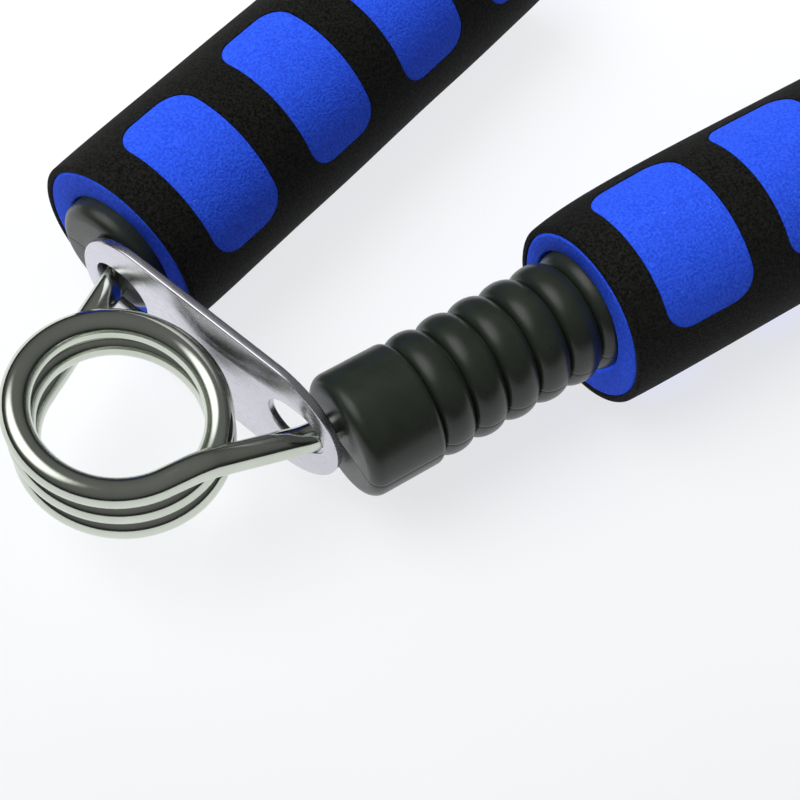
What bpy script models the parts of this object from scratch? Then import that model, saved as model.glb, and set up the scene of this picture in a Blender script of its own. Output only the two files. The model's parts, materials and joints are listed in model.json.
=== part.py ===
"""Hand grip strengthener: a torsion spring with a handle on each leg.

The gripper lies flat, on its two round grips. The coil's axis is vertical, and the handles run
towards +Y, the right one at +X. All sizes are in metres, +Z is up, and the finished part stands
with the centre of its box's underside at the origin.

Each handle has a frame of its own: local Y runs along the handle, away from the coil, and local X
is level. `along` means a distance on the handle's axis from the foot of the perpendicular dropped
on it from the coil's axis.
"""
import math

import bmesh
import bpy
from mathutils import Vector

MM = 0.001
GAP = 0.3 * MM                      # running clearance between pieces that nearly touch

# Spring
WIRE_RADIUS = 2.05 * MM
COIL_RADIUS = 13.1 * MM             # coil axis to wire centre
TURN_PITCH = 4.35 * MM              # rise of one turn
COIL_LIFT = 2.8 * MM                # coil's mid height above the handles' plane
COIL_LEAN_X = -0.16                 # rise of each turn for a step along +X, so the turns lean
COIL_LEAN_Y = -0.09                 # rise of each turn for a step along +Y
WHOLE_TURNS = 3                     # turns the legs would close if both pointed along +Y
LEG_LEVEL_RUN = 5.5 * MM            # level stretch of each leg before it slopes
LEG_BEND_RADIUS = 9.0 * MM
PLATE_CLEARANCE = 0.7 * MM          # between the coil and the link plate
LEG_LENGTH = 66.0 * MM              # from the coil to the leg's end inside the core
COIL_STEPS_PER_TURN = 48

# Handles
HALF_ANGLE = math.radians(9.0)      # each handle's axis leans this much off +Y
CORE_RADIUS = 9.25 * MM
CORE_LENGTH = 92.0 * MM
COLLAR_LENGTH = 11.75 * MM
COLLAR_FRONT_ROUND = 2.0 * MM
COLLAR_BACK_ROUND = 1.2 * MM
RIB_COUNT = 5
RIB_PITCH = 5.35 * MM
RIB_DEPTH = 1.75 * MM
BARREL_SHOULDER = 2.4 * MM
CORE_END_ROUND = 1.5 * MM
CORE_STEPS = 32

# Foam grips
GRIP_RADIUS = 15.0 * MM
GRIP_LENGTH = 90.5 * MM
SKIN_THICKNESS = 0.95 * MM
GRIP_END_ROUND = 0.6 * MM
GRIP_STEPS = 48
WINDOW_COUNT = 4
WINDOW_LENGTH = 14.0 * MM
WINDOW_PITCH = 21.5 * MM
WINDOW_START = 6.2 * MM             # foam's near end to the first window
WINDOW_HALF_ANGLE = math.radians(50.7)
WINDOW_CORNER = 4.2 * MM
COLLAR_SHOWING = 2.9 * MM           # collar left bare by a seated grip
PULLED_BACK = 37.1 * MM             # how far the right grip has been drawn off its collar

# Link plate
PLATE_THICKNESS = 1.3 * MM
PLATE_HALF_HEIGHT = 11.3 * MM
PLATE_CENTRES = 26.4 * MM           # between the centres of its two round ends
PLATE_TURN = math.radians(7.0)
PLATE_DROP = 0.5 * MM
SLOT_HALF_HEIGHT = 4.3 * MM
SLOT_OUTER_END = 21.9 * MM          # plate's middle to the outer end of a slot
SLOT_LENGTH = 10.1 * MM


class Side:
    """One handle: `sign` is +1 on the right, -1 on the left."""

    def __init__(self, name, sign, axis_offset, leg_angle, collar_front, window_turn, pulled):
        self.name = name
        self.sign = sign
        self.axis_offset = axis_offset * MM
        self.leg_angle = math.radians(leg_angle)
        self.collar_front = collar_front * MM
        self.window_turn = math.radians(window_turn)
        self.pulled = pulled

    def direction(self, angle):
        return Vector((self.sign * math.sin(angle), math.cos(angle), 0.0))

    def outward(self, angle):
        return Vector((self.sign * math.cos(angle), -math.sin(angle), 0.0))

    def axis_point(self, along):
        foot = self.outward(HALF_ANGLE) * self.axis_offset
        return foot + self.direction(HALF_ANGLE) * along

    def grip_front(self):
        return self.collar_front + COLLAR_SHOWING + self.pulled

    def leg_root(self):
        point = self.outward(self.leg_angle) * COIL_RADIUS
        point.z = COIL_LIFT + self.sign * coil_height() / 2 + lean(point.x, point.y)
        return point


def lean(x, y):
    """Height that the coil's lean adds at a place on it."""
    return COIL_LEAN_X * x + COIL_LEAN_Y * y


def coil_angles():
    """Start and end angle of the wire's centre line: it winds down from right leg to left leg."""
    start = -RIGHT.leg_angle
    end = math.pi + LEFT.leg_angle - WHOLE_TURNS * 2 * math.pi
    return start, end


def coil_height():
    start, end = coil_angles()
    return TURN_PITCH * (start - end) / (2 * math.pi)


RIGHT = Side("right", 1, 16.8, 12.2, 23.9, 13.5, PULLED_BACK)
LEFT = Side("left", -1, 21.4, 24.1, 18.5, 27.3, 0.0)
SIDES = (LEFT, RIGHT)

MATERIALS = {
    # name: (colour, roughness, metallic)
    "spring_steel": ((0.62, 0.63, 0.58), 0.12, 1.0),
    "plate_steel": ((0.60, 0.59, 0.64), 0.30, 1.0),
    "core_plastic": ((0.012, 0.015, 0.012), 0.28, 0.0),
    "blue_foam": ((0.018, 0.065, 0.60), 0.85, 0.0),
    "black_foam": ((0.009, 0.009, 0.008), 0.90, 0.0),
}


def clear_scene():
    for obj in list(bpy.data.objects):
        bpy.data.objects.remove(obj, do_unlink=True)


def make_collection(name):
    collection = bpy.data.collections.new(name)
    bpy.context.scene.collection.children.link(collection)
    return collection


def make_material(name):
    colour, roughness, metallic = MATERIALS[name]
    material = bpy.data.materials.new(name)
    material.use_nodes = True
    shader = material.node_tree.nodes["Principled BSDF"]
    shader.inputs["Base Color"].default_value = (*colour, 1.0)
    shader.inputs["Roughness"].default_value = roughness
    shader.inputs["Metallic"].default_value = metallic
    material.diffuse_color = (*colour, 1.0)
    return material


def make_object(name, data, collection, parent=None, material=None):
    obj = bpy.data.objects.new(name, data)
    collection.objects.link(obj)
    obj.parent = parent
    if material:
        data.materials.append(material)
    return obj


def make_empty(name, collection, parent=None, location=(0, 0, 0), turn=0.0):
    empty = make_object(name, None, collection, parent)
    empty.empty_display_size = 0.01
    empty.location = location
    empty.rotation_euler = (0.0, 0.0, turn)
    return empty


def arc(centre, radius, start, end, steps):
    """Points of an arc in a plane, angles in degrees."""
    points = []
    for i in range(steps + 1):
        angle = math.radians(start + (end - start) * i / steps)
        points.append((centre[0] + radius * math.cos(angle), centre[1] + radius * math.sin(angle)))
    return points


def rounded_path(corners, radius, steps=6):
    """A polyline with each inner corner replaced by an arc."""
    path = [corners[0]]
    for before, corner, after in zip(corners, corners[1:], corners[2:]):
        back = (before - corner).normalized()
        ahead = (after - corner).normalized()
        half = back.angle(ahead) / 2
        reach = radius / math.tan(half)
        bisector = (back + ahead).normalized()
        centre = corner + bisector * (radius / math.sin(half))
        first = (corner + back * reach - centre).normalized()
        last = (corner + ahead * reach - centre).normalized()
        for i in range(steps + 1):
            path.append(centre + first.slerp(last, i / steps) * radius)
    path.append(corners[-1])
    return path


def wire_curve(name, path, radius):
    """A round wire along a polyline, closed at both ends."""
    curve = bpy.data.curves.new(name, "CURVE")
    curve.dimensions = "3D"
    curve.bevel_depth = radius
    curve.bevel_resolution = 2
    curve.use_fill_caps = True
    spline = curve.splines.new("POLY")
    spline.points.add(len(path) - 1)
    for point, position in zip(spline.points, path):
        point.co = (*position, 1.0)
    return curve


def curve_to_mesh(obj):
    """Swap a curve object for the mesh it makes, with its caps welded on."""
    depsgraph = bpy.context.evaluated_depsgraph_get()
    mesh = bpy.data.meshes.new_from_object(obj.evaluated_get(depsgraph))
    shape = bmesh.new()
    shape.from_mesh(mesh)
    bmesh.ops.remove_doubles(shape, verts=shape.verts, dist=1e-6)
    shape.to_mesh(mesh)
    shape.free()
    name = obj.name
    collection = obj.users_collection[0]
    placed = obj.matrix_world.copy()
    parent = obj.parent
    bpy.data.objects.remove(obj, do_unlink=True)
    solid = make_object(name, mesh, collection, parent)
    solid.matrix_world = placed
    return solid


def profile_mesh(name, points, closed):
    """An outline in the XZ plane, ready for a Screw modifier about Z."""
    mesh = bpy.data.meshes.new(name)
    edges = [(i, i + 1) for i in range(len(points) - 1)]
    if closed:
        edges.append((len(points) - 1, 0))
    mesh.from_pydata([(x, 0.0, z) for x, z in points], edges, [])
    return mesh


def add_screw(obj, steps):
    screw = obj.modifiers.new("Turned", "SCREW")
    screw.steps = steps
    screw.render_steps = steps
    screw.use_merge_vertices = True
    screw.merge_threshold = 1e-6
    screw.use_normal_calculate = True
    screw.use_smooth_shade = True
    return screw


def add_cut(obj, cutter, operation="DIFFERENCE"):
    cut = obj.modifiers.new("Cut", "BOOLEAN")
    cut.operation = operation
    cut.solver = "EXACT"
    cut.object = cutter
    return cut


def mark_cutter(obj):
    obj.hide_render = True
    obj.display_type = "WIRE"


def core_profile():
    """Half outline of a handle core, from the far end's centre to the collar's front centre."""
    radius = CORE_RADIUS
    groove = radius - RIB_DEPTH
    half_rib = RIB_PITCH / 2 - 0.12 * MM
    front = COLLAR_FRONT_ROUND
    back = COLLAR_BACK_ROUND
    points = [(0.0, 0.0)]
    points += arc((radius - front, front), front, -90, 0, 6)
    points += arc((radius - back, COLLAR_LENGTH - back), back, 0, 75, 4)
    points.append((groove, COLLAR_LENGTH))
    for rib in range(RIB_COUNT):
        middle = COLLAR_LENGTH + RIB_PITCH * (rib + 0.5)
        for i in range(9):
            angle = math.radians(180 - 22.5 * i)
            crest = RIB_DEPTH * math.sin(angle)
            points.append((groove + crest, middle + half_rib * math.cos(angle)))
    barrel = COLLAR_LENGTH + RIB_COUNT * RIB_PITCH
    points.append((groove, barrel))
    shoulder = BARREL_SHOULDER
    for i in range(1, 6):
        angle = math.radians(18 * i)
        points.append((groove + RIB_DEPTH * math.sin(angle), barrel + shoulder * (1 - math.cos(angle))))
    round_end = CORE_END_ROUND
    points += arc((radius - round_end, CORE_LENGTH - round_end), round_end, 0, 90, 4)
    points.append((0.0, CORE_LENGTH))
    points.reverse()
    return points


def tube_profile(inner, outer, length, rounding):
    """Closed outline of a plain sleeve with rounded outer edges."""
    points = [(inner, 0.0), (inner, length)]
    points += arc((outer - rounding, length - rounding), rounding, 90, 0, 3)
    points += arc((outer - rounding, rounding), rounding, 0, -90, 3)
    return points


def box_mesh(name, low, high):
    mesh = bpy.data.meshes.new(name)
    shape = bmesh.new()
    bmesh.ops.create_cube(shape, size=1.0)
    size = Vector(high) - Vector(low)
    middle = (Vector(high) + Vector(low)) / 2
    for vertex in shape.verts:
        vertex.co = Vector((vertex.co.x * size.x, vertex.co.y * size.y, vertex.co.z * size.z)) + middle
    shape.to_mesh(mesh)
    shape.free()
    return mesh


def window_prisms(name):
    """One rounded block for each pair of windows, through the sleeve from side to side."""
    half_width = GRIP_RADIUS * math.sin(WINDOW_HALF_ANGLE)
    reach = GRIP_RADIUS * 1.2
    corner = WINDOW_CORNER
    mesh = bpy.data.meshes.new(name)
    shape = bmesh.new()
    for row in range(WINDOW_COUNT):
        low = WINDOW_START + row * WINDOW_PITCH
        high = low + WINDOW_LENGTH
        outline = arc((half_width - corner, high - corner), corner, 0, 90, 5)
        outline += arc((corner - half_width, high - corner), corner, 90, 180, 5)
        outline += arc((corner - half_width, low + corner), corner, 180, 270, 5)
        outline += arc((half_width - corner, low + corner), corner, 270, 360, 5)
        verts = [shape.verts.new((x, -reach, z)) for x, z in outline]
        face = shape.faces.new(verts)
        made = bmesh.ops.extrude_face_region(shape, geom=[face])
        moved = [item for item in made["geom"] if isinstance(item, bmesh.types.BMVert)]
        bmesh.ops.translate(shape, verts=moved, vec=(0.0, 2 * reach, 0.0))
    bmesh.ops.recalc_face_normals(shape, faces=shape.faces)
    shape.to_mesh(mesh)
    shape.free()
    return mesh


def plate_curve(name):
    """Flat outline of the link plate, with its two slots."""
    curve = bpy.data.curves.new(name, "CURVE")
    curve.dimensions = "2D"
    curve.fill_mode = "BOTH"
    curve.extrude = PLATE_THICKNESS / 2
    end = PLATE_CENTRES / 2
    slot_outer = SLOT_OUTER_END - SLOT_HALF_HEIGHT
    slot_inner = SLOT_OUTER_END - SLOT_LENGTH + SLOT_HALF_HEIGHT
    outlines = [
        (-end, end, PLATE_HALF_HEIGHT, 0.0, 14),
        (slot_inner, slot_outer, SLOT_HALF_HEIGHT, PLATE_DROP, 10),
        (-slot_outer, -slot_inner, SLOT_HALF_HEIGHT, PLATE_DROP, 10),
    ]
    for left, right, radius, height, steps in outlines:
        points = arc((right, height), radius, -90, 90, steps)
        points += arc((left, height), radius, 90, 270, steps)
        spline = curve.splines.new("POLY")
        spline.points.add(len(points) - 1)
        spline.use_cyclic_u = True
        for point, (x, y) in zip(spline.points, points):
            point.co = (x, y, 0.0, 1.0)
    return curve


def leg_path(side, clearance=0.0):
    """Centre line of a spring leg: level, sloping to the handles' plane, then level in the core."""
    root = side.leg_root()
    ahead = side.direction(side.leg_angle)
    plate_normal = Vector((-math.sin(PLATE_TURN), math.cos(PLATE_TURN), 0.0))
    to_plate = (plate_front() - root.dot(plate_normal)) / ahead.dot(plate_normal)
    level = root + ahead * LEG_LEVEL_RUN
    slot = root + ahead * (to_plate - 0.5 * MM)
    slot.z = 0.0
    handle = side.direction(HALF_ANGLE)
    relative = side.leg_angle - HALF_ANGLE
    missing = side.axis_offset - root.dot(side.outward(HALF_ANGLE))
    to_axis = missing / math.sin(relative)
    if to_axis < LEG_LENGTH:
        knee = root + ahead * to_axis
        knee.z = 0.0
        end = knee + handle * (LEG_LENGTH - to_axis + clearance)
        corners = [root + ahead * GAP, level, slot, knee, end]
    else:
        end = root + ahead * (LEG_LENGTH + clearance)
        end.z = 0.0
        corners = [root + ahead * GAP, level, slot, end]
    return rounded_path(corners, LEG_BEND_RADIUS)


def plate_front():
    """Distance from the coil's axis to the plate's face."""
    return COIL_RADIUS + WIRE_RADIUS + PLATE_CLEARANCE


def build_coil(collection, parent, material):
    start, end = coil_angles()
    steps = round(COIL_STEPS_PER_TURN * (start - end) / (2 * math.pi))
    path = []
    for i in range(steps + 1):
        angle = start + (end - start) * i / steps
        x = COIL_RADIUS * math.cos(angle)
        y = COIL_RADIUS * math.sin(angle)
        path.append(Vector((x, y, COIL_LIFT + coil_height() * (0.5 - i / steps) + lean(x, y))))
    return make_object("spring_coil", wire_curve("spring_coil", path, WIRE_RADIUS),
                       collection, parent, material)


def build_leg(side, collection, parent, frame, material):
    """The leg's own frame is the gripper's, so its path is moved into the parent's."""
    into_parent = (frame.matrix_world.inverted() @ parent.matrix_world).inverted()
    path = [into_parent @ point for point in leg_path(side)]
    name = "spring_leg_" + side.name
    return make_object(name, wire_curve(name, path, WIRE_RADIUS), collection, parent, material)


def build_channel(side, cutters, parent, frame):
    """The hole for the leg, as a wire a little thicker and longer than the leg."""
    into_parent = (frame.matrix_world.inverted() @ parent.matrix_world).inverted()
    path = [into_parent @ point for point in leg_path(side, clearance=1.0 * MM)]
    name = "cut_channel_" + side.name
    tube = make_object(name, wire_curve(name, path, WIRE_RADIUS + GAP), cutters, parent)
    bpy.context.view_layer.update()
    solid = curve_to_mesh(tube)
    mark_cutter(solid)
    return solid


def build_core(side, collection, cutters, handle, frame, material):
    """Two half shells that meet on the handles' plane and close on the leg."""
    channel = build_channel(side, cutters, handle, frame)
    reach = 2 * CORE_RADIUS
    for half, low, high in (("upper", -reach, -GAP / 2), ("lower", GAP / 2, reach)):
        name = f"{side.name}_core_{half}"
        mesh = profile_mesh(name, core_profile(), closed=False)
        core = make_object(name, mesh, collection, handle, material)
        core.location = (0.0, side.collar_front, 0.0)
        core.rotation_euler = (-math.pi / 2, 0.0, 0.0)
        add_screw(core, CORE_STEPS)
        keep_mesh = box_mesh("keep_" + name, (-reach, low, -reach), (reach, high, CORE_LENGTH + reach))
        keep = make_object("keep_" + name, keep_mesh, cutters, handle)
        keep.location = core.location
        keep.rotation_euler = core.rotation_euler
        mark_cutter(keep)
        add_cut(core, channel)
        add_cut(core, keep, "INTERSECT")


def build_grip(side, collection, cutters, handle, blue, black):
    """Blue inner sleeve and black outer sleeve. Both slide along the core."""
    bore = CORE_RADIUS + GAP
    skin_inner = GRIP_RADIUS - SKIN_THICKNESS
    layers = (
        ("foam_inner", bore, skin_inner - GAP, blue),
        ("foam_outer", skin_inner, GRIP_RADIUS, black),
    )
    for label, inner, outer, material in layers:
        name = f"{side.name}_{label}"
        rounding = min(GRIP_END_ROUND, 0.6 * (outer - inner))
        mesh = profile_mesh(name, tube_profile(inner, outer, GRIP_LENGTH, rounding), closed=True)
        sleeve = make_object(name, mesh, collection, handle, material)
        sleeve.location = (0.0, side.grip_front(), 0.0)
        sleeve.rotation_euler = (-math.pi / 2, 0.0, 0.0)
        add_screw(sleeve, GRIP_STEPS)
        if label == "foam_outer":
            prisms = make_object("cut_windows_" + side.name, window_prisms("cut_windows_" + side.name),
                                 cutters, handle)
            prisms.location = sleeve.location
            prisms.rotation_euler = (-math.pi / 2, side.window_turn, 0.0)
            mark_cutter(prisms)
            add_cut(sleeve, prisms)


def build_plate(collection, frame, material):
    pivot = make_empty("plate_pivot", collection, frame)
    plate = make_object("link_plate", plate_curve("link_plate"), collection, pivot, material)
    normal = Vector((-math.sin(PLATE_TURN), math.cos(PLATE_TURN), 0.0))
    middle = normal * (plate_front() + PLATE_THICKNESS / 2)
    plate.location = (middle.x, middle.y, -PLATE_DROP)
    plate.rotation_euler = (math.pi / 2, 0.0, PLATE_TURN)
    return plate


def bounds(objects):
    depsgraph = bpy.context.evaluated_depsgraph_get()
    low = Vector((math.inf,) * 3)
    high = Vector((-math.inf,) * 3)
    for obj in objects:
        if obj.type not in {"MESH", "CURVE"}:
            continue
        evaluated = obj.evaluated_get(depsgraph)
        for vertex in evaluated.to_mesh().vertices:
            point = obj.matrix_world @ vertex.co
            low = Vector(map(min, low, point))
            high = Vector(map(max, high, point))
        evaluated.to_mesh_clear()
    return low, high


def stand_on_origin(frame, objects):
    bpy.context.view_layer.update()
    low, high = bounds(objects)
    middle = (low + high) / 2
    frame.location += Vector((-middle.x, -middle.y, -low.z))
    bpy.context.view_layer.update()


def main():
    clear_scene()
    part = make_collection("hand_grip_strengthener")
    cutters = make_collection("cutters")
    materials = {name: make_material(name) for name in MATERIALS}
    frame = make_empty("coil_axis", part)
    squeeze = make_empty("squeeze_axis", part, frame)
    build_coil(part, frame, materials["spring_steel"])
    build_plate(part, frame, materials["plate_steel"])
    for side in SIDES:
        pivot = squeeze if side is RIGHT else frame
        handle = make_empty(side.name + "_handle_axis", part, pivot,
                            side.axis_point(0.0), -side.sign * HALF_ANGLE)
        bpy.context.view_layer.update()
        build_leg(side, part, handle, frame, materials["spring_steel"])
        build_core(side, part, cutters, handle, frame, materials["core_plastic"])
        build_grip(side, part, cutters, handle, materials["blue_foam"], materials["black_foam"])
    stand_on_origin(frame, part.objects)


main()
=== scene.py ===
"""Looks for the hand grip strengthener: bright wire, satin link plate, ribbed cores and foam.

The gripper lies flat with the coil's axis upright. Each handle has its own local space: Y runs
along the handle away from the coil, X is level and Z is up. `along` is a distance on that axis.
"""
import json
import math

import bmesh
import bpy
from mathutils import Matrix, Vector, noise


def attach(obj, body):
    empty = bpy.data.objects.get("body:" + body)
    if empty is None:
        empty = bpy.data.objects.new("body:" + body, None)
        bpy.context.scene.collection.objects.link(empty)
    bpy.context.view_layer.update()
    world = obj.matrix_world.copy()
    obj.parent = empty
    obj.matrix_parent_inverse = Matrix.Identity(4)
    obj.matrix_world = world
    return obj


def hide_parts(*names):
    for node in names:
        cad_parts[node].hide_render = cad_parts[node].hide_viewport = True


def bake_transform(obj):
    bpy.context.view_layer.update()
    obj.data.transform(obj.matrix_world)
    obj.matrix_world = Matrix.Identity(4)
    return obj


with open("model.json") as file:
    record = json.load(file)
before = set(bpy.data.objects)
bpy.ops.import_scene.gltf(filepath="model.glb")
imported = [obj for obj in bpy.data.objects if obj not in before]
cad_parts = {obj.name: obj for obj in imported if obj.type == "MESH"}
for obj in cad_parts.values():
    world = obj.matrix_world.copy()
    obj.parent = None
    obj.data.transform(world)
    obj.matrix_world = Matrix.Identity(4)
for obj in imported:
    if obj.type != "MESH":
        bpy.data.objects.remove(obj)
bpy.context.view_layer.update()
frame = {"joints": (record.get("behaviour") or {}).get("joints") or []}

MM = 0.001
COIL = Vector(frame["joints"][0]["pos_m"])      # where the coil's axis crosses the handles' plane

# spring
WIRE = 2.05 * MM                                # radius of the wire
COIL_RADIUS = 13.1 * MM
TURN_PITCH = 4.35 * MM
COIL_LIFT = 2.8 * MM
COIL_LEAN = Vector((-0.16, -0.09, 0.0))         # rise of each turn along +X and along +Y
WHOLE_TURNS = 3
COIL_STEPS = 232
SEAM_RUN = 2.6 * MM                             # straight stretch of each leg made with the coil
LEVEL_RUN = 5.5 * MM                            # level stretch of each leg before it slopes
LEG_BEND = 9.0 * MM
LEG_LENGTH = 66.0 * MM
HANDED = {"left": -1, "right": 1}
LEG_ANGLE = {"left": math.radians(24.1), "right": math.radians(12.2)}
AXIS_OFFSET = {"left": 21.4 * MM, "right": 16.8 * MM}
COLLAR_FRONT = {"left": 18.5 * MM, "right": 23.9 * MM}
GRIP_FRONT = {"left": 21.4 * MM, "right": 63.9 * MM}
LEAN = math.radians(9.0)                        # each handle's lean away from +Y
COIL_START = -LEG_ANGLE["right"]
COIL_END = math.pi + LEG_ANGLE["left"] - WHOLE_TURNS * 2 * math.pi
COIL_HEIGHT = TURN_PITCH * (COIL_START - COIL_END) / (2 * math.pi)

# cores
CORE_RADIUS = 9.25 * MM
CORE_LENGTH = 92.0 * MM
COLLAR_LENGTH = 11.75 * MM
COLLAR_FRONT_ROUND = 2.0 * MM
COLLAR_BACK_ROUND = 1.2 * MM
SHOULDER = 2.4 * MM                             # from the last rib up to the plain barrel
CORE_END_ROUND = 1.5 * MM
CORE_STEPS = 48
RIB_PITCH = 5.35 * MM
RIB_DEPTH = 1.75 * MM
RIB_COUNT = 5
RIB_GROOVE = 0.10 * MM                          # half the flat between two ribs
PARTING_GAP = 0.05 * MM                         # half the line between two half shells

# foam grips
GRIP_RADIUS = 15.0 * MM
GRIP_LENGTH = 90.5 * MM
GRIP_BORE = 9.6 * MM
SKIN_INNER = 13.95 * MM                         # inside radius of the black sleeve
GRIP_LOOPS = 60
GRIP_STEPS = 128
WINDOW_SLICES = 42

# link plate
PLATE_MIDDLE = 16.5 * MM                        # coil's axis to the middle of the plate's thickness
PLATE_TURN = math.radians(7.0)
PLATE_THICKNESS = 1.3 * MM
PLATE_DROP = 0.5 * MM
PLATE_CENTRES = 26.4 * MM
PLATE_END_RADIUS = 11.3 * MM
SLOT_MIDDLE = 16.85 * MM
SLOT_CENTRES = 1.5 * MM
SLOT_END_RADIUS = 4.3 * MM

NEARLY_ZERO = 1e-6


# ---------------------------------------------------------------- modelling helpers

def deselect():
    """Back to object mode with nothing selected."""
    if bpy.context.object and bpy.context.object.mode != "OBJECT":
        bpy.ops.object.mode_set(mode="OBJECT")
    bpy.ops.object.select_all(action="DESELECT")


def pick(obj):
    deselect()
    obj.select_set(True)
    bpy.context.view_layer.objects.active = obj


def edit(obj):
    pick(obj)
    bpy.ops.object.mode_set(mode="EDIT")
    bpy.ops.mesh.select_all(action="DESELECT")


def leave_edit():
    bpy.ops.object.mode_set(mode="OBJECT")


def choose(obj, test, kind="FACE"):
    """In edit mode: select the faces, edges or vertices whose middle passes the test."""
    bpy.ops.mesh.select_mode(type=kind)
    shape = bmesh.from_edit_mesh(obj.data)
    for items in (shape.verts, shape.edges, shape.faces):
        for item in items:
            item.select = False
    pool = {"FACE": shape.faces, "EDGE": shape.edges, "VERT": shape.verts}[kind]
    for item in pool:
        if kind == "FACE":
            chosen = test(item.calc_center_median(), item.normal)
        elif kind == "EDGE":
            chosen = test(item.verts[0].co, item.verts[1].co)
        else:
            chosen = test(item.co)
        item.select_set(chosen)
    shape.select_flush_mode()
    bmesh.update_edit_mesh(obj.data)


def apply_modifiers(obj):
    pick(obj)
    for modifier in list(obj.modifiers):
        bpy.ops.object.modifier_apply(modifier=modifier.name)


def shade(obj, degrees):
    """Smooth shading, with an edge kept sharp where it turns by more than the angle."""
    pick(obj)
    bpy.ops.object.shade_smooth_by_angle(angle=math.radians(degrees))


def tidy_mesh(obj, distance=NEARLY_ZERO):
    """Merge doubles and turn every face outwards."""
    edit(obj)
    bpy.ops.mesh.select_all(action="SELECT")
    bpy.ops.mesh.remove_doubles(threshold=distance)
    bpy.ops.mesh.normals_make_consistent(inside=False)
    leave_edit()


def bake_place(obj, matrix):
    """Put the piece in its place through its mesh, so that the object stays at the origin."""
    obj.data.transform(matrix @ obj.matrix_world)
    obj.matrix_world = Matrix.Identity(4)


def trace(name, points):
    """One vertex drawn along a line of points by extruding, as a wire profile."""
    deselect()
    bpy.ops.mesh.primitive_plane_add(size=MM, location=points[0])
    obj = bpy.context.object
    obj.name = name
    obj.data.name = name
    bpy.ops.object.transform_apply(location=True, rotation=True, scale=True)
    bpy.ops.object.mode_set(mode="EDIT")
    bpy.ops.mesh.select_mode(type="VERT")
    bpy.ops.mesh.select_all(action="SELECT")
    bpy.ops.mesh.merge(type="CENTER")
    for before, after in zip(points, points[1:]):
        step = Vector(after) - Vector(before)
        bpy.ops.mesh.extrude_region_move(TRANSFORM_OT_translate={"value": step})
    leave_edit()
    return obj


def spin(obj, angle, steps):
    """Turn a profile about the local Y axis."""
    edit(obj)
    bpy.ops.mesh.select_all(action="SELECT")
    bpy.ops.mesh.spin(steps=steps, angle=angle, center=(0, 0, 0), axis=(0, 1, 0))
    leave_edit()
    tidy_mesh(obj)


def round_edges(obj, name, width, segments, degrees):
    bevel = obj.modifiers.new(name, "BEVEL")
    bevel.width = width
    bevel.segments = segments
    bevel.limit_method = "ANGLE"
    bevel.angle_limit = math.radians(degrees)
    apply_modifiers(obj)


def arc(centre, radius, start, end, steps):
    """Points on a circle between two angles in degrees."""
    points = []
    for i in range(steps + 1):
        angle = math.radians(start + (end - start) * i / steps)
        points.append((centre[0] + radius * math.cos(angle), centre[1] + radius * math.sin(angle)))
    return points


def handle_space(side):
    """From a handle's local space to the object's frame."""
    sign = HANDED[side]
    outward = Vector((sign * math.cos(LEAN), -math.sin(LEAN), 0.0))
    foot = COIL + outward * AXIS_OFFSET[side]
    return Matrix.Translation(foot) @ Matrix.Rotation(-sign * LEAN, 4, "Z")


# ---------------------------------------------------------------- materials

def new_material(name):
    material = bpy.data.materials.new(name)
    material.use_nodes = True
    return material, material.node_tree, material.node_tree.nodes["Principled BSDF"]


def object_coords(tree):
    return tree.nodes.new("ShaderNodeTexCoord").outputs["Object"]


def noise_node(tree, coords, scale, detail, roughness=0.5):
    node = tree.nodes.new("ShaderNodeTexNoise")
    node.inputs["Scale"].default_value = scale
    node.inputs["Detail"].default_value = detail
    node.inputs["Roughness"].default_value = roughness
    tree.links.new(coords, node.inputs["Vector"])
    return node.outputs["Fac"]


def ramp(tree, value, stops):
    """A colour ramp through (position, colour or grey) stops."""
    node = tree.nodes.new("ShaderNodeValToRGB")
    elements = node.color_ramp.elements
    while len(elements) < len(stops):
        elements.new(0.5)
    for element, (position, colour) in zip(elements, stops):
        rgb = colour if hasattr(colour, "__len__") else (colour, colour, colour)
        element.position = position
        element.color = (*rgb, 1.0)
    tree.links.new(value, node.inputs["Fac"])
    return node.outputs["Color"]


def mix(tree, factor, a, b, blend="MIX"):
    """Colour mix of a and b; each value is a socket, a colour or a number."""
    node = tree.nodes.new("ShaderNodeMix")
    node.data_type = "RGBA"
    node.blend_type = blend
    factor_socket, a_socket, b_socket = node.inputs[0], node.inputs[6], node.inputs[7]
    for socket, value in ((factor_socket, factor), (a_socket, a), (b_socket, b)):
        if isinstance(value, bpy.types.NodeSocket):
            tree.links.new(value, socket)
        elif hasattr(value, "__len__"):
            socket.default_value = (*value, 1.0)
        else:
            socket.default_value = value
    return node.outputs[2]


def remap(tree, value, low, high, out_low=0.0, out_high=1.0):
    node = tree.nodes.new("ShaderNodeMapRange")
    node.inputs["From Min"].default_value = low
    node.inputs["From Max"].default_value = high
    node.inputs["To Min"].default_value = out_low
    node.inputs["To Max"].default_value = out_high
    tree.links.new(value, node.inputs["Value"])
    return node.outputs["Result"]


def bump(tree, shader, heights):
    """Stacked bumps, each (height socket, distance, strength)."""
    last = None
    for height, distance, strength in heights:
        node = tree.nodes.new("ShaderNodeBump")
        node.inputs["Distance"].default_value = distance
        node.inputs["Strength"].default_value = strength
        tree.links.new(height, node.inputs["Height"])
        if last:
            tree.links.new(last, node.inputs["Normal"])
        last = node.outputs["Normal"]
    tree.links.new(last, shader.inputs["Normal"])


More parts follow.
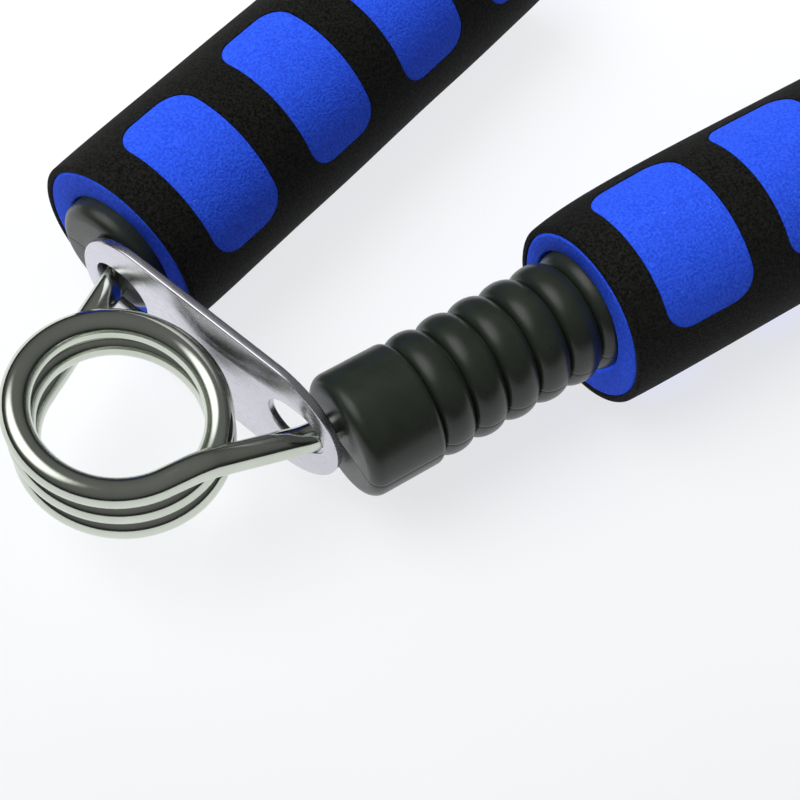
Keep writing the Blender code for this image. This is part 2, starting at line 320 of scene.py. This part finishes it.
def wire_material():
    """Bright plating with a faint olive cast and drawing marks."""
    material, tree, shader = new_material("bright_plated_wire")
    coords = object_coords(tree)
    clouds = noise_node(tree, coords, 160.0, 4.0)
    fine = noise_node(tree, coords, 2600.0, 3.0)
    tint = ramp(tree, clouds, [(0.3, (0.57, 0.61, 0.525)), (0.7, (0.645, 0.68, 0.605))])
    tree.links.new(tint, shader.inputs["Base Color"])
    tree.links.new(remap(tree, fine, 0.3, 0.7, 0.09, 0.14), shader.inputs["Roughness"])
    shader.inputs["Metallic"].default_value = 1.0
    bump(tree, shader, [(clouds, 0.05 * MM, 0.05), (fine, 0.006 * MM, 0.10)])
    return material


def plate_material():
    """Satin plating, brushed along the strip."""
    material, tree, shader = new_material("satin_plated_steel")
    coords = object_coords(tree)
    mapping = tree.nodes.new("ShaderNodeMapping")
    mapping.inputs["Rotation"].default_value = (0.0, 0.0, -PLATE_TURN)
    mapping.inputs["Scale"].default_value = (0.05, 1.0, 1.0)
    tree.links.new(coords, mapping.inputs["Vector"])
    grain = noise_node(tree, mapping.outputs["Vector"], 6500.0, 2.0)
    clouds = noise_node(tree, coords, 90.0, 3.0)
    tint = ramp(tree, clouds, [(0.3, (0.62, 0.61, 0.67)), (0.7, (0.68, 0.67, 0.73))])
    brushed = mix(tree, remap(tree, grain, 0.3, 0.7, 0.0, 0.18), tint, (0.52, 0.51, 0.56))
    tree.links.new(brushed, shader.inputs["Base Color"])
    tree.links.new(remap(tree, grain, 0.3, 0.7, 0.22, 0.30), shader.inputs["Roughness"])
    shader.inputs["Metallic"].default_value = 1.0
    bump(tree, shader, [(grain, 0.008 * MM, 0.12)])
    return material


def core_material():
    """Olive black plastic with a soft moulded sheen."""
    material, tree, shader = new_material("moulded_core_plastic")
    coords = object_coords(tree)
    clouds = noise_node(tree, coords, 260.0, 5.0)
    fine = noise_node(tree, coords, 3000.0, 4.0)
    tint = ramp(tree, clouds, [(0.3, (0.014, 0.0175, 0.0125)), (0.7, (0.021, 0.0265, 0.019))])
    tree.links.new(tint, shader.inputs["Base Color"])
    tree.links.new(remap(tree, fine, 0.3, 0.7, 0.27, 0.38), shader.inputs["Roughness"])
    shader.inputs["IOR"].default_value = 1.5
    bump(tree, shader, [(clouds, 0.10 * MM, 0.05), (fine, 0.012 * MM, 0.15)])
    return material


def foam_material(name, dark, light, fleck, roughness):
    """Closed-cell foam: fine pores, slow clouds between two shades, and a few pale flecks."""
    material, tree, shader = new_material(name)
    coords = object_coords(tree)
    cells = tree.nodes.new("ShaderNodeTexVoronoi")
    cells.inputs["Scale"].default_value = 3300.0
    tree.links.new(coords, cells.inputs["Vector"])
    pores = noise_node(tree, coords, 2700.0, 2.0, 0.6)
    clouds = noise_node(tree, coords, 1200.0, 3.0, 0.5)
    grain = mix(tree, 0.12, remap(tree, pores, 0.25, 0.75), remap(tree, clouds, 0.25, 0.75))
    tint = ramp(tree, grain, [(0.28, dark), (0.72, light)])
    specks = remap(tree, noise_node(tree, coords, 1700.0, 1.0), 0.76, 0.80, 0.0, 0.6)
    tree.links.new(mix(tree, specks, tint, fleck), shader.inputs["Base Color"])
    shader.inputs["Roughness"].default_value = roughness
    shader.inputs["Specular IOR Level"].default_value = 0.2
    bump(tree, shader, [(clouds, 0.10 * MM, 0.20), (pores, 0.22 * MM, 0.80),
                        (cells.outputs["Distance"], 0.10 * MM, 0.35)])
    return material


def floor_material():
    """A light table, its colour painted a little brighter towards the far side as painted light."""
    material, tree, shader = new_material("pale_light_table")
    coords = object_coords(tree)
    clouds = noise_node(tree, coords, 9.0, 2.0)
    tint = ramp(tree, clouds, [(0.3, (0.52, 0.53, 0.54)), (0.7, (0.55, 0.56, 0.57))])
    far = tree.nodes.new("ShaderNodeVectorMath")
    far.operation = "DOT_PRODUCT"
    far.inputs[1].default_value = (-0.707, 0.707, 0.0)
    tree.links.new(coords, far.inputs[0])
    # painted light: the base colour brightens towards the far side, standing in for light falling
    # off across the table
    painted_far_light = remap(tree, far.outputs["Value"], -0.10, 0.06)
    tree.links.new(mix(tree, painted_far_light, tint, (0.62, 0.625, 0.635)), shader.inputs["Base Color"])
    shader.inputs["Roughness"].default_value = 0.7
    shader.inputs["Specular IOR Level"].default_value = 0.1
    shader.inputs["Emission Color"].default_value = (0.975, 0.98, 1.0, 1.0)
    shader.inputs["Emission Strength"].default_value = 0.335
    return material


WIRE_LOOK = wire_material()
PLATE_LOOK = plate_material()
CORE_LOOK = core_material()
BLUE_LOOK = foam_material(
    "blue_foam_skin", dark=(0.019, 0.071, 0.71), light=(0.033, 0.120, 0.96),
    fleck=(0.16, 0.28, 0.95), roughness=0.85)
BLACK_LOOK = foam_material(
    "black_foam_skin", dark=(0.0020, 0.0022, 0.0018), light=(0.0150, 0.0158, 0.0138),
    fleck=(0.045, 0.046, 0.043), roughness=0.9)


def finish_piece(obj, material, body, node):
    """Give a piece its material and its body, and hide the CAD node that it stands for."""
    obj.data.materials.clear()
    obj.data.materials.append(material)
    if body:
        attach(obj, body)
    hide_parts(node)


# ---------------------------------------------------------------- spring

def rounded_path(corners, radius, steps=14):
    """A line through corners, each one replaced by an arc."""
    path = [corners[0]]
    for before, corner, after in zip(corners, corners[1:], corners[2:]):
        back = (before - corner).normalized()
        ahead = (after - corner).normalized()
        half = back.angle(ahead) / 2
        reach = radius / math.tan(half)
        centre = corner + (back + ahead).normalized() * (radius / math.sin(half))
        first = (corner + back * reach - centre).normalized()
        last = (corner + ahead * reach - centre).normalized()
        for i in range(steps + 1):
            path.append(centre + first.slerp(last, i / steps) * radius)
    path.append(corners[-1])
    return path


def bent_wire(name, path):
    """A round wire bent along a path, made from a curve with a round bevel."""
    curve = bpy.data.curves.new(name, "CURVE")
    curve.dimensions = "3D"
    curve.bevel_depth = WIRE
    curve.bevel_resolution = 7
    curve.use_fill_caps = True
    spline = curve.splines.new("POLY")
    spline.points.add(len(path) - 1)
    for point, place in zip(spline.points, path):
        point.co = (*place, 1.0)
    obj = bpy.data.objects.new(name, curve)
    bpy.context.scene.collection.objects.link(obj)
    pick(obj)
    bpy.ops.object.convert(target="MESH")
    obj = bpy.context.object
    tidy_mesh(obj)
    shade(obj, 50.0)
    return obj


def leg_geometry(side):
    """Where a leg leaves the coil, counted from the coil's axis, and its direction there."""
    sign = HANDED[side]
    angle = LEG_ANGLE[side]
    outward = Vector((sign * math.cos(angle), -math.sin(angle), 0.0))
    ahead = Vector((sign * math.sin(angle), math.cos(angle), 0.0))
    root = outward * COIL_RADIUS
    root.z = COIL_LIFT + sign * COIL_HEIGHT / 2 + root.dot(COIL_LEAN)
    return root, ahead


def build_coil():
    """The coil and the first stretch of each leg, as one wire."""
    right_root, right_ahead = leg_geometry("right")
    left_root, left_ahead = leg_geometry("left")
    path = [right_root + right_ahead * SEAM_RUN, right_root + right_ahead * SEAM_RUN * 0.4]
    for i in range(COIL_STEPS + 1):
        turn = COIL_START + (COIL_END - COIL_START) * i / COIL_STEPS
        point = Vector((COIL_RADIUS * math.cos(turn), COIL_RADIUS * math.sin(turn), 0.0))
        point.z = COIL_LIFT + COIL_HEIGHT * (0.5 - i / COIL_STEPS) + point.dot(COIL_LEAN)
        path.append(point)
    path += [left_root + left_ahead * SEAM_RUN * 0.4, left_root + left_ahead * SEAM_RUN]
    coil = bent_wire("spring_coil_wire", [COIL + point for point in path])
    finish_piece(coil, WIRE_LOOK, None, "spring_coil")
    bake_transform(coil)


def build_leg(side):
    """Off the coil, through the plate's slot and along the handle's axis inside its core."""
    root, ahead = leg_geometry(side)
    sign = HANDED[side]
    normal = Vector((-math.sin(PLATE_TURN), math.cos(PLATE_TURN), 0.0))
    to_plate = (PLATE_MIDDLE - PLATE_THICKNESS / 2 - root.dot(normal)) / ahead.dot(normal)
    slot = root + ahead * (to_plate - 0.5 * MM)
    slot.z = 0.0
    handle = Vector((sign * math.sin(LEAN), math.cos(LEAN), 0.0))
    across = Vector((sign * math.cos(LEAN), -math.sin(LEAN), 0.0))
    missing = AXIS_OFFSET[side] - root.dot(across)
    to_axis = missing / math.sin(LEG_ANGLE[side] - LEAN)
    corners = [root + ahead * SEAM_RUN, root + ahead * LEVEL_RUN, slot]
    if to_axis < LEG_LENGTH:
        knee = root + ahead * to_axis
        knee.z = 0.0
        corners += [knee, knee + handle * (LEG_LENGTH - to_axis)]
    else:
        end = root + ahead * LEG_LENGTH
        end.z = 0.0
        corners.append(end)
    path = [COIL + point for point in rounded_path(corners, LEG_BEND)]
    leg = bent_wire(f"{side}_leg_wire", path)
    finish_piece(leg, WIRE_LOOK, f"{side}_arm", f"spring_leg_{side}")


# ---------------------------------------------------------------- link plate

def stadium(name, centres, radius, depth, vertices):
    """A round-ended block: a cylinder whose two halves are drawn apart."""
    deselect()
    bpy.ops.mesh.primitive_cylinder_add(vertices=vertices, radius=radius, depth=depth)
    obj = bpy.context.object
    obj.name = name
    edit(obj)
    bpy.ops.mesh.select_all(action="SELECT")
    bpy.ops.transform.rotate(value=math.pi / vertices, orient_axis="Z", center_override=(0, 0, 0))
    leave_edit()
    edit(obj)
    choose(obj, lambda co: co.x > 0, "VERT")
    bpy.ops.transform.translate(value=(centres / 2, 0, 0))
    choose(obj, lambda co: co.x < 0, "VERT")
    bpy.ops.transform.translate(value=(-centres / 2, 0, 0))
    leave_edit()
    return obj


def build_plate():
    """A round-ended strip that stands across both legs, with a slot for each."""
    plate = stadium("link_plate_satin", PLATE_CENTRES, PLATE_END_RADIUS, PLATE_THICKNESS, 128)
    for sign in (-1, 1):
        slot = stadium("slot_tool", SLOT_CENTRES, SLOT_END_RADIUS, 5 * MM, 64)
        slot.location = (sign * SLOT_MIDDLE, PLATE_DROP, 0)
        combine(plate, slot, "DIFFERENCE")
    round_edges(plate, "edge", 0.28 * MM, 4, 50)
    tidy_mesh(plate)
    middle = Vector((-math.sin(PLATE_TURN), math.cos(PLATE_TURN), 0.0)) * PLATE_MIDDLE
    place = Matrix.Translation(COIL + middle + Vector((0, 0, -PLATE_DROP)))
    place = place @ Matrix.Rotation(PLATE_TURN, 4, "Z") @ Matrix.Rotation(math.pi / 2, 4, "X")
    bake_place(plate, place)
    shade(plate, 32.0)
    finish_piece(plate, PLATE_LOOK, "link_plate", "link_plate")


# ---------------------------------------------------------------- cores

def core_line():
    """Half outline of a core as (radius, along), from the collar's front to the far end."""
    radius = CORE_RADIUS
    groove = radius - RIB_DEPTH
    half_rib = RIB_PITCH / 2 - RIB_GROOVE
    points = [(0.0, 0.0), (radius * 0.55, 0.0)]
    points += arc((radius - COLLAR_FRONT_ROUND, COLLAR_FRONT_ROUND),
                  COLLAR_FRONT_ROUND, -90, 0, 10)
    points.append((radius, COLLAR_LENGTH * 0.5))
    points += arc((radius - COLLAR_BACK_ROUND, COLLAR_LENGTH - COLLAR_BACK_ROUND),
                  COLLAR_BACK_ROUND, 0, 80, 8)
    points.append((groove, COLLAR_LENGTH + 0.02 * MM))
    for rib in range(RIB_COUNT):
        middle = COLLAR_LENGTH + RIB_PITCH * (rib + 0.5)
        for i in range(19):
            angle = math.radians(180 - 10 * i)
            crest = RIB_DEPTH * math.sin(angle) ** 0.85 if 0 < i < 18 else 0.0
            points.append((groove + crest, middle + half_rib * math.cos(angle)))
    barrel = COLLAR_LENGTH + RIB_COUNT * RIB_PITCH
    points.append((groove, barrel))
    for i in range(1, 10):
        angle = math.radians(10 * i)
        along = barrel + SHOULDER * (1 - math.cos(angle))
        points.append((groove + RIB_DEPTH * math.sin(angle), along))
    for i in range(1, 6):
        points.append((radius, barrel + SHOULDER + i * 10 * MM))
    points += arc((radius - CORE_END_ROUND, CORE_LENGTH - CORE_END_ROUND),
                  CORE_END_ROUND, 0, 90, 8)
    points.append((0.0, CORE_LENGTH))
    return points


def build_core(side):
    """Two half shells that meet on the level plane through the handle's axis."""
    line = core_line()
    for half, turned in (("upper", 0.0), ("lower", math.pi)):
        shell = trace(f"{side}_core_{half}_shell", [(x, y, 0.0) for x, y in line])
        spin(shell, -math.pi, CORE_STEPS)
        edit(shell)
        bpy.ops.mesh.select_mode(type="EDGE")
        bpy.ops.mesh.select_non_manifold(extend=False, use_wire=False, use_boundary=True,
                                         use_multi_face=False, use_non_contiguous=False,
                                         use_verts=False)
        bpy.ops.mesh.edge_face_add()
        leave_edit()
        low = min(vertex.co.z for vertex in shell.data.vertices)
        flip = math.pi if low < -MM else 0.0
        shell.data.transform(Matrix.Rotation(turned + flip, 4, "Y"))
        shift = PARTING_GAP if half == "upper" else -PARTING_GAP
        round_edges(shell, "parting", 0.06 * MM, 2, 60)
        tidy_mesh(shell)
        local = Matrix.Translation((0, COLLAR_FRONT[side], shift))
        bake_place(shell, handle_space(side) @ local)
        shade(shell, 40.0)
        finish_piece(shell, CORE_LOOK, f"{side}_arm", f"{side}_core_{half}")


# ---------------------------------------------------------------- foam grips

# Windows of each grip: (start, length, half width in degrees, turn towards +X, corner)
WINDOWS = {
    "left": [(6.3, 13.4, 50.9, 27.8, 4.35), (27.4, 13.6, 50.6, 26.6, 4.0),
             (48.9, 14.4, 50.6, 26.6, 4.1), (70.4, 14.0, 50.6, 27.0, 4.1)],
    "right": [(5.6, 15.3, 52.6, 12.9, 4.1), (27.6, 15.6, 51.0, 10.0, 3.6),
              (49.6, 15.0, 51.0, 11.0, 4.0), (71.2, 14.4, 51.0, 12.0, 4.1)],
}


def tube(name, inner, outer, rounding):
    """A sleeve along Y: the outline of its wall, edges rounded, turned about the axis."""
    deselect()
    bpy.ops.mesh.primitive_plane_add(size=1.0)
    obj = bpy.context.object
    obj.name = name
    obj.data.name = name
    edit(obj)
    bpy.ops.mesh.select_all(action="SELECT")
    middle = (outer + inner) / 2
    bpy.ops.transform.resize(value=(outer - inner, GRIP_LENGTH, 1.0), center_override=(0, 0, 0))
    bpy.ops.transform.translate(value=(middle, GRIP_LENGTH / 2, 0))
    bpy.ops.mesh.delete(type="ONLY_FACE")
    choose(obj, lambda a, b: abs(a.x - b.x) < NEARLY_ZERO, "EDGE")
    bpy.ops.mesh.subdivide(number_cuts=GRIP_LOOPS)

    def at_end(co):
        return min(co.y, GRIP_LENGTH - co.y) < NEARLY_ZERO

    choose(obj, lambda co: co.x > middle and at_end(co), "VERT")
    bpy.ops.mesh.bevel(offset=rounding, segments=5, affect="VERTICES")
    choose(obj, lambda co: co.x < middle and at_end(co), "VERT")
    bpy.ops.mesh.bevel(offset=rounding * 0.5, segments=2, affect="VERTICES")
    leave_edit()
    spin(obj, 2 * math.pi, GRIP_STEPS)
    return obj


def window_block(window, low, high, shrink=0.0, rows=1):
    """A rounded block bent round the sleeve: a window's cutter, or the panel that fills it."""
    start, length, half_width, degrees, corner = window
    turn = math.radians(degrees)
    reach = math.radians(half_width) * GRIP_RADIUS - shrink
    depth = length * MM - 2 * shrink
    deselect()
    bpy.ops.mesh.primitive_cube_add(size=1.0)
    obj = bpy.context.object
    obj.name = "window_block"
    edit(obj)
    bpy.ops.mesh.select_all(action="SELECT")
    bpy.ops.transform.resize(value=(2 * reach, depth, high - low), center_override=(0, 0, 0))
    choose(obj, lambda a, b: abs(a.z - b.z) > NEARLY_ZERO, "EDGE")
    bpy.ops.mesh.bevel(offset=corner * MM - shrink, segments=12, affect="EDGES")
    if shrink:
        choose(obj, lambda centre, normal: normal.z > 0.9)
        bpy.ops.mesh.bevel(offset=0.14 * MM, segments=3, affect="EDGES")
    for i in range(1, rows):
        place = -depth / 2 + depth * i / rows
        bpy.ops.mesh.select_all(action="SELECT")
        bpy.ops.mesh.bisect(plane_co=(0, place, 0), plane_no=(0, 1, 0))
    for i in range(1, WINDOW_SLICES):
        place = -reach + 2 * reach * i / WINDOW_SLICES
        bpy.ops.mesh.select_all(action="SELECT")
        bpy.ops.mesh.bisect(plane_co=(place, 0, 0), plane_no=(1, 0, 0))
    leave_edit()
    for vertex in obj.data.vertices:
        angle = vertex.co.x / GRIP_RADIUS + turn
        radius = (low + high) / 2 + vertex.co.z
        along = (start + length / 2) * MM + vertex.co.y
        vertex.co = (radius * math.sin(angle), along, radius * math.cos(angle))
    tidy_mesh(obj)
    return obj


def combine(obj, tool, operation):
    """Boolean of the piece with a tool, which is then thrown away."""
    step = obj.modifiers.new("shape", "BOOLEAN")
    step.operation = operation
    step.solver = "EXACT"
    step.object = tool
    apply_modifiers(obj)
    bpy.data.objects.remove(tool)


def smooth_step(value):
    """From 0 to 1 with a level start and end."""
    value = min(max(value, 0.0), 1.0)
    return value * value * (3 - 2 * value)


def soften(side, along, angle):
    """The foam's uneven shape as a change of radius: slow swell, pinched ends, one pressed side."""
    seed = 3.0 if side == "left" else 9.0
    place = Vector((math.sin(angle) * 1.3, along / (16 * MM), math.cos(angle) * 1.3 + seed))
    change = 0.10 * MM * noise.noise(place)
    near = math.exp(-along / (5.0 * MM))
    far = math.exp(-(GRIP_LENGTH - along) / (4.0 * MM))
    change -= 0.25 * MM * (near + far)
    if side == "right":
        toward = 0.5 + 0.5 * math.cos(angle + math.radians(75))
        change -= 1.5 * MM * math.exp(-along / (9.0 * MM)) * toward
    return change


def build_grip(side):
    """Blue inner sleeve that fills the windows of the black outer sleeve."""
    windows = []
    for start, length, half_width, turn, corner in WINDOWS[side]:
        windows.append((start, length, half_width, turn, corner))
        windows.append((start, length, half_width, turn + 180.0, corner))

    blue = tube(f"{side}_blue_foam", GRIP_BORE, SKIN_INNER - 0.05 * MM, 0.5 * MM)
    black = tube(f"{side}_black_foam", SKIN_INNER, GRIP_RADIUS, 0.45 * MM)
    for window in windows:
        tool = window_block(window, SKIN_INNER - 1.5 * MM, GRIP_RADIUS + 1.5 * MM)
        combine(black, tool, "DIFFERENCE")
        panel = window_block(window, SKIN_INNER - 1.0 * MM, GRIP_RADIUS - 0.10 * MM, 0.04 * MM, 9)
        combine(blue, panel, "UNION")
    round_edges(black, "edge", 0.15 * MM, 3, 50)
    for obj in (black, blue):
        tidy_mesh(obj, 2 * NEARLY_ZERO)

    for obj, material, slot, node in ((blue, BLUE_LOOK, "blue_foam", "inner"),
                                      (black, BLACK_LOOK, "black_foam", "outer")):
        for vertex in obj.data.vertices:
            x, y, z = vertex.co
            radius = math.hypot(x, z)
            angle = math.atan2(x, z)
            share = smooth_step((radius - GRIP_BORE) / (SKIN_INNER - GRIP_BORE))
            radius += soften(side, y, angle) * share
            vertex.co = (radius * math.sin(angle), y, radius * math.cos(angle))
        bake_place(obj, handle_space(side) @ Matrix.Translation((0, GRIP_FRONT[side], 0)))
        shade(obj, 60.0)
        finish_piece(obj, material, f"{side}_grip", f"{side}_foam_{node}")


build_coil()
build_plate()
for each_side in ("left", "right"):
    build_leg(each_side)
    build_core(each_side)
    build_grip(each_side)


# ---------------------------------------------------------------- floor, light and camera

def build_stage():
    deselect()
    bpy.ops.mesh.primitive_plane_add(size=3.0, location=(0, 0, -0.1 * MM))
    floor = bpy.context.object
    floor.name = "pale_floor"
    floor.data.materials.append(floor_material())


def build_light():
    """An overhead light that fills softly: it leaves no shadow and no mirror image of itself."""
    place = Vector((-0.42, 0.05, 0.90))
    aim = Vector((0.0, -0.02, 0.0))
    light = bpy.data.lights.new("overhead", "AREA")
    light.shape = "SQUARE"
    light.size = 0.42
    light.energy = 8.0
    light.use_shadow = False
    obj = bpy.data.objects.new("overhead", light)
    bpy.context.scene.collection.objects.link(obj)
    obj.location = place
    obj.rotation_euler = (aim - place).to_track_quat("-Z", "Y").to_euler()
    obj.visible_glossy = False


def soft_panel(tree, coords, direction, inner, outer, strength, under):
    """Add to the sky a round bright patch whose edge fades between two angles."""
    aim = tree.nodes.new("ShaderNodeVectorMath")
    aim.operation = "DOT_PRODUCT"
    aim.inputs[1].default_value = Vector(direction).normalized()
    tree.links.new(coords, aim.inputs[0])
    patch = tree.nodes.new("ShaderNodeMapRange")
    patch.interpolation_type = "SMOOTHSTEP"
    patch.inputs["From Min"].default_value = math.cos(math.radians(outer))
    patch.inputs["From Max"].default_value = math.cos(math.radians(inner))
    patch.inputs["To Max"].default_value = strength
    tree.links.new(aim.outputs["Value"], patch.inputs["Value"])
    return mix(tree, 1.0, under, patch.outputs["Result"], "ADD")


def build_world():
    """A dim room, dark at the horizon, with one large soft panel overhead."""
    world = bpy.data.worlds.new("studio")
    bpy.context.scene.world = world
    world.use_nodes = True
    tree = world.node_tree
    background = tree.nodes["Background"]
    coords = tree.nodes.new("ShaderNodeTexCoord").outputs["Generated"]
    split = tree.nodes.new("ShaderNodeSeparateXYZ")
    tree.links.new(coords, split.inputs["Vector"])
    sky = ramp(tree, split.outputs["Z"],
               [(0.0, 0.02), (0.22, 0.03), (0.42, 0.11), (0.7, 0.15), (1.0, 0.17)])
    sky = soft_panel(tree, coords, direction=(-0.40, -0.36, 0.84), inner=8.0, outer=34.0,
                     strength=2.0, under=sky)
    tree.links.new(sky, background.inputs["Color"])
    background.inputs["Strength"].default_value = 1.0


def build_camera():
    """A close camera, high over the coil's end, that looks along the handles."""
    azimuth = math.radians(44.1926)
    elevation = math.radians(58.9433)
    roll = math.radians(4.1791)
    distance = 215.66 * MM
    target = COIL + Vector((20.951, 31.519, 0.0)) * MM
    back = Vector((math.sin(azimuth) * math.cos(elevation),
                   -math.cos(azimuth) * math.cos(elevation), math.sin(elevation)))
    right = Vector((math.cos(azimuth), math.sin(azimuth), 0.0))
    up = back.cross(right)
    level = right * math.cos(roll) + up * math.sin(roll)
    rise = up * math.cos(roll) - right * math.sin(roll)
    turn = Matrix((level, rise, back)).transposed().to_4x4()
    camera = bpy.data.objects.new("camera", bpy.data.cameras.new("camera"))
    bpy.context.scene.collection.objects.link(camera)
    camera.matrix_world = Matrix.Translation(target + back * distance) @ turn
    camera.data.sensor_width = 36.0
    camera.data.lens = 70.33
    camera.data.clip_start = 0.01
    camera.data.clip_end = 10.0
    bpy.context.scene.camera = camera


build_stage()
build_world()
build_light()
build_camera()
bpy.context.scene.view_settings.view_transform = "Standard"
